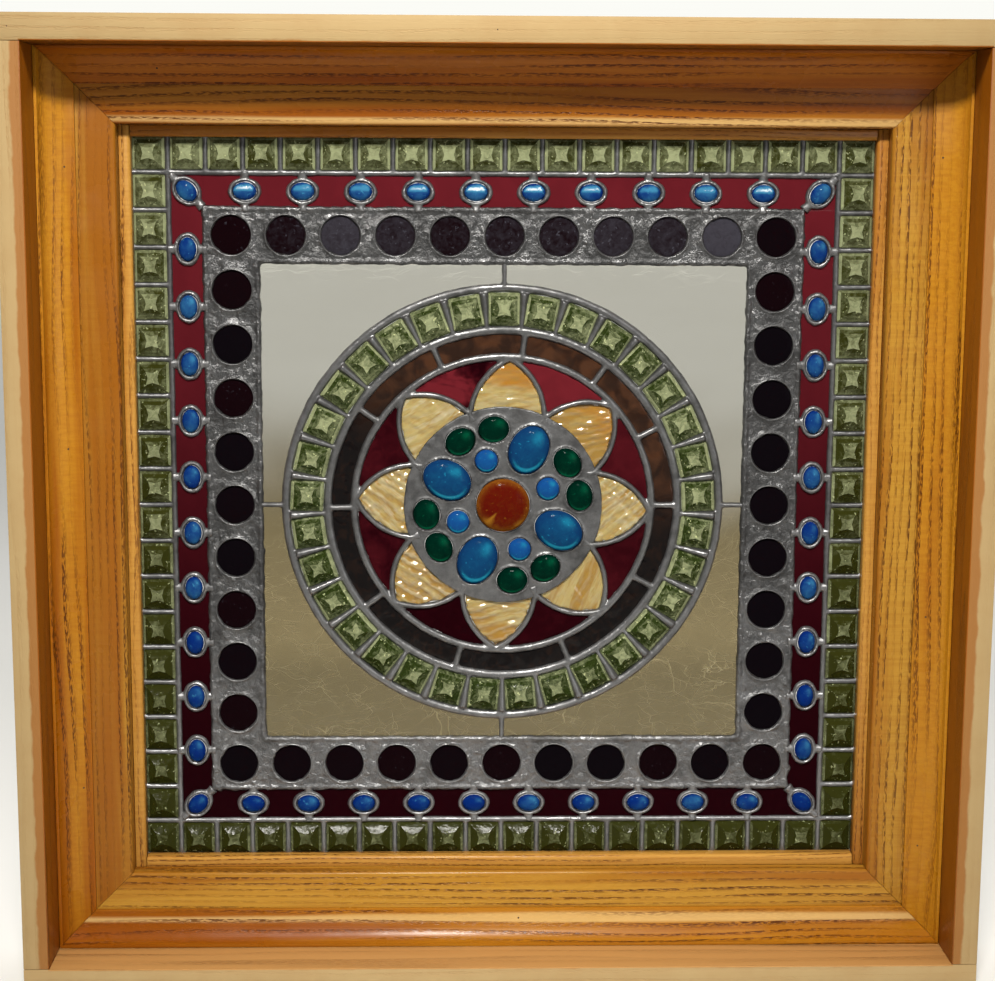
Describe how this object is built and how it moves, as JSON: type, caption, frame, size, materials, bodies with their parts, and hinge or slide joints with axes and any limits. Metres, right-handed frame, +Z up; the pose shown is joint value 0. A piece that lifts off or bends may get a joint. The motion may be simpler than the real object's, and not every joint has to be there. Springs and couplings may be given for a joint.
{
  "type": "leaded stained glass window in a box frame",
  "caption": "Square leaded glass window: petal rosette with a jewelled boss, clear corner panes and jewelled borders, in a deep wooden box frame.",
  "frame": {"origin": "middle of the underside of the bottom board, halfway between the front and back edges", "axes": "+Z up, +X to the right seen from the front, -Y out of the front face towards the viewer"},
  "size_m": [0.7116, 0.0892, 0.7116],
  "materials": {
    "box_wood": "stained softwood boards with paler sawn front edges, nail holes and scuffs",
    "oak": "open-grained oak under a thin brown satin finish",
    "lead": "lead and solder lines with a lumpy, dull grey, lightly burnished skin",
    "clear_glass": "pale crackled clear glass",
    "dark_glass": "dark brown-violet ripple glass",
    "amber_glass": "streaky opalescent amber and cream glass with a rippled gloss",
    "ruby_glass": "deep ruby glass",
    "red_jewel_glass": "polished amber-red cabochon",
    "blue_glass": "polished blue cabochons",
    "green_jewel_glass": "square pressed jewels of grey-green glass with a raised square table",
    "emerald_glass": "polished emerald cabochons",
    "violet_glass": "near-black violet rondels"
  },
  "bodies": {
    "root": {"box_board_bottom": "box_wood", "box_board_top": "box_wood", "box_board_left": "box_wood", "box_board_right": "box_wood", "cove_bottom": "oak", "cove_right": "oak", "cove_top": "oak", "cove_left": "oak", "sash_rail_bottom": "oak", "sash_rail_right": "oak", "sash_rail_top": "oak", "sash_rail_left": "oak", "stop_bead_bottom": "oak", "stop_bead_right": "oak", "stop_bead_top": "oak", "stop_bead_left": "oak", "clear_pane_top_right": "clear_glass", "clear_pane_top_left": "clear_glass", "clear_pane_bottom_left": "clear_glass", "clear_pane_bottom_right": "clear_glass", "dark_ring_piece_1": "dark_glass", "dark_ring_piece_2": "dark_glass", "dark_ring_piece_3": "dark_glass", "dark_ring_piece_4": "dark_glass", "dark_ring_piece_5": "dark_glass", "dark_ring_piece_6": "dark_glass", "dark_ring_piece_7": "dark_glass", "dark_ring_piece_8": "dark_glass", "dark_ring_piece_9": "dark_glass", "dark_ring_piece_10": "dark_glass", "dark_ring_piece_11": "dark_glass", "petal_1": "amber_glass", "petal_2": "amber_glass", "petal_3": "amber_glass", "petal_4": "amber_glass", "petal_5": "amber_glass", "petal_6": "amber_glass", "petal_7": "amber_glass", "petal_8": "amber_glass", "ruby_wedge_1": "ruby_glass", "ruby_wedge_2": "ruby_glass", "ruby_wedge_3": "ruby_glass", "ruby_wedge_4": "ruby_glass", "ruby_wedge_5": "ruby_glass", "ruby_wedge_6": "ruby_glass", "ruby_wedge_7": "ruby_glass", "ruby_wedge_8": "ruby_glass", "centre_jewel": "red_jewel_glass", "blue_oval_1": "blue_glass", "blue_oval_2": "blue_glass", "blue_oval_3": "blue_glass", "blue_oval_4": "blue_glass", "blue_round_1": "blue_glass", "blue_round_2": "blue_glass", "blue_round_3": "blue_glass", "blue_round_4": "blue_glass", "lead_web": "lead"}
  },
  "joints": []
}
